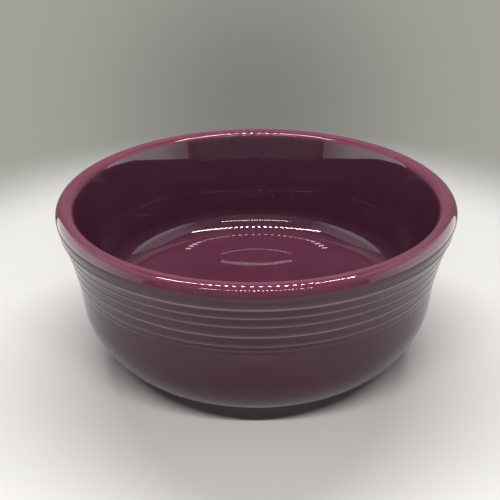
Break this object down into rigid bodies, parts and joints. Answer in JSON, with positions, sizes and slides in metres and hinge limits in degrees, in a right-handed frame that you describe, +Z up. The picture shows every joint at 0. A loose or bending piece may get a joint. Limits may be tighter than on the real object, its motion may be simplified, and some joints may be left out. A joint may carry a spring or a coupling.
{
  "type": "ceramic bowl",
  "caption": "Round glazed ceramic bowl with a thick rounded lip, turned rings below it, a smooth belly and a low foot ring.",
  "frame": {"origin": "on the table plane, at the middle of the foot ring", "axes": "+Z up along the axis the bowl was turned on, out of its mouth; X and Y lie in the table plane and are free, because the bowl is round"},
  "size_m": [0.1464, 0.1464, 0.0661],
  "materials": {
    "clay": "matt",
    "glaze": "gloss"
  },
  "bodies": {
    "root": {"clay_body": "clay", "glaze_coat": "glaze", "foot_well_glaze": "glaze"}
  },
  "joints": []
}
